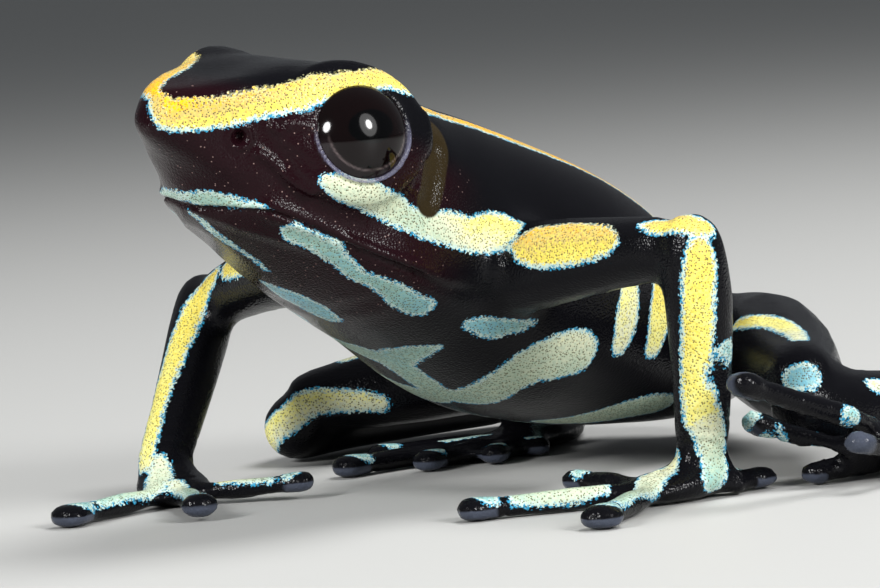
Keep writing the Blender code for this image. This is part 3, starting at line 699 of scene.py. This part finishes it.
links.new(sum_of("MINIMUM", hue, 1.0), tint.inputs["Fac"])
dark = mix_of(value_of("face"), BLACK, MAROON)
specks = cells_of(5200.0)
speck = sum_of("MULTIPLY", ramp_of(specks["Distance"], 0.14, 0.07),
               sum_of("MULTIPLY", value_of("face"), 0.6))
dark = mix_of(speck, dark, FRECKLE)
dark = mix_of(ramp_of(value_of("pad"), 0.3, 0.9), dark, DISC_GREY)
broken = sum_of("MULTIPLY_ADD", scatter.outputs["Blue"], 0.10, edge)
pale = mix_of(ramp_of(sum_of("MULTIPLY_ADD", value_of("fringe"), -0.10, broken), 0.06, 0.14),
              WHITE_EDGE, tint.outputs["Color"])
blue = mix_of(value_of("fringe"), BROWN_EDGE, BLUE_EDGE)
lit = mix_of(ramp_of(broken, 0.08, 0.13), blue, pale)
dots = ramp_of(grains["Distance"], 0.18, 0.44)
lit = mix_of(dots, DOT, lit)
colour = mix_of(ramp_of(edge, 0.0, 0.02), dark, lit)
colour = mix_of(ramp_of(value_of("ear"), -0.04, 0.04), colour, EAR_BROWN)
colour = mix_of(value_of("rim"), colour, LID_GREY)
links.new(colour, shader.inputs["Base Color"])
shader.inputs["Roughness"].default_value = 0.18
shader.inputs["Specular IOR Level"].default_value = 0.11
bump = node("ShaderNodeBump")
bump.inputs["Strength"].default_value = 0.5
bump.inputs["Distance"].default_value = 0.000025
links.new(sum_of("MULTIPLY_ADD", fine_noise, 0.5, grains["Distance"]), bump.inputs["Height"])
links.new(bump.outputs["Normal"], shader.inputs["Normal"])
skin.data.materials.append(hide)
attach(skin, "root")
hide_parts(*flesh)

# The eyes. Each is a wet ball with a wide black pupil, a very dark brown iris and, low down, the
# thin pale edge of the clear third lid.
black_eye = bpy.data.materials.new("wet eye")
black_eye.use_nodes = True
nodes = black_eye.node_tree.nodes
links = black_eye.node_tree.links
ball_shader = nodes["Principled BSDF"]
PUPIL_BLACK = (0.0004, 0.0004, 0.0006)
IRIS_BROWN = (0.0024, 0.0009, 0.0010)
THIRD_LID = (0.008, 0.005, 0.006)
LID_LINE = (0.09, 0.07, 0.07)
iris = mix_of(ramp_of(value_of("pupil"), 0.94, 1.06), PUPIL_BLACK, IRIS_BROWN)
iris = mix_of(ramp_of(value_of("third_lid"), 0.0, 0.6), iris, THIRD_LID)
iris = mix_of(value_of("lid_line"), iris, LID_LINE)
links.new(iris, ball_shader.inputs["Base Color"])
ball_shader.inputs["Roughness"].default_value = 0.09
ball_shader.inputs["IOR"].default_value = 1.34
LINE_ANGLE = 0.80
PUPIL_HEIGHT = 0.30
PUPIL_WIDTH = 0.42
for name, side in (("eye_left", 1), ("eye_right", -1)):
    bpy.ops.object.select_all(action="DESELECT")
    bpy.ops.mesh.primitive_uv_sphere_add(segments=160, ring_count=80, radius=EYE_RADIUS * MM,
                                         location=box_middle(name))
    bpy.ops.object.transform_apply(location=True, rotation=True, scale=True)
    ball = bpy.context.object
    ball.name = "eyeball_" + name.split("_")[1]
    bpy.ops.object.shade_smooth()
    middle, way, rise = eye_frame(side)
    heading = read_normals(ball)
    high = heading @ rise
    flat = heading @ np.cross(way, rise)
    angle = np.arccos(np.clip(heading @ way, -1, 1))
    low = ease(0.05, -0.35, high)
    for key, values in (("pupil", np.hypot(high / PUPIL_HEIGHT, flat / PUPIL_WIDTH) + (angle > 1.5) * 9),
                        ("third_lid", ease(LINE_ANGLE, LINE_ANGLE + 0.03, angle) * low),
                        ("lid_line", np.exp(-((angle - LINE_ANGLE) / 0.016) ** 2) * low)):
        attribute = ball.data.attributes.new(key, "FLOAT", "POINT")
        attribute.data.foreach_set("value", np.asarray(values, np.float32))
    ball.data.materials.append(black_eye)
    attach(ball, "root")
    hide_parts(name)

# Floor, light and camera.
bpy.ops.object.select_all(action="DESELECT")
bpy.ops.mesh.primitive_plane_add(size=4.0)
floor = bpy.context.object
floor.name = "floor"
pale = bpy.data.materials.new("pale floor")
pale.use_nodes = True
floor_shader = pale.node_tree.nodes["Principled BSDF"]
floor_shader.inputs["Base Color"].default_value = (0.37, 0.37, 0.36, 1)
floor_shader.inputs["Roughness"].default_value = 0.6
floor.data.materials.append(pale)

CAMERA_AZIMUTH = math.radians(42.7)
CAMERA_HEIGHT = math.radians(4.5)
CAMERA_ROLL = math.radians(-4.2)
CAMERA_DISTANCE = 0.150
PIXELS_PER_MM = 35.15
FRAME_WIDTH = 880
SENSOR_WIDTH = 36
LAMP_DISTANCE = 0.2
LAMPS_FACE = Vector((0, 0, 0.005))
aim = Vector((3.0, 8.0, 6.15)) * MM + Vector(ORIGIN)
back = Vector((math.sin(CAMERA_AZIMUTH) * math.cos(CAMERA_HEIGHT),
               -math.cos(CAMERA_AZIMUTH) * math.cos(CAMERA_HEIGHT), math.sin(CAMERA_HEIGHT)))
right = Vector((math.cos(CAMERA_AZIMUTH), math.sin(CAMERA_AZIMUTH), 0))
up = back.cross(right)
across = right * math.cos(CAMERA_ROLL) + up * math.sin(CAMERA_ROLL)
rising = up * math.cos(CAMERA_ROLL) - right * math.sin(CAMERA_ROLL)
eye = bpy.data.cameras.new("camera")
eye.sensor_width = SENSOR_WIDTH
eye.lens = SENSOR_WIDTH * CAMERA_DISTANCE / MM * PIXELS_PER_MM / FRAME_WIDTH
eye.clip_start = 0.001
camera = bpy.data.objects.new("camera", eye)
bpy.context.scene.collection.objects.link(camera)
turn = Matrix((across, rising, back)).transposed().to_4x4()
turn.translation = aim + back * CAMERA_DISTANCE
camera.matrix_world = turn
bpy.context.scene.camera = camera


def lamp(name, place, size, height, power):
    """A soft box that faces the frog; the one above it isn't mirrored in the skin."""
    light = bpy.data.lights.new(name, "AREA")
    light.shape = "ELLIPSE"
    light.size = size
    light.size_y = height
    light.energy = power
    made = bpy.data.objects.new(name, light)
    bpy.context.scene.collection.objects.link(made)
    made.location = place
    made.visible_glossy = name != "top soft box"
    made.rotation_euler = (LAMPS_FACE - Vector(place)).to_track_quat("-Z", "Y").to_euler()


def from_camera(across_share, rising_share, back_share):
    """A place one lamp distance from the frog in a direction given as the camera sees it."""
    way = across * across_share + rising * rising_share + back * back_share
    return aim + way.normalized() * LAMP_DISTANCE


lamp("left soft box", from_camera(-0.70, 0.34, 0.62), 0.05, 0.065, 0.42)
lamp("right soft box", from_camera(0.58, 0.44, 0.68), 0.04, 0.06, 0.34)
lamp("right soft glow", from_camera(0.56, 0.42, 0.68), 0.12, 0.16, 0.20)
lamp("top soft box", from_camera(0.30, 0.93, -0.20), 0.11, 0.11, 0.52)
world = bpy.data.worlds.new("studio")
bpy.context.scene.world = world
world.use_nodes = True
sky = world.node_tree.nodes["Background"]
sky.inputs["Color"].default_value = (0.9, 0.95, 1.0, 1)
sky.inputs["Strength"].default_value = 0.17
bpy.context.scene.view_settings.view_transform = "Standard"
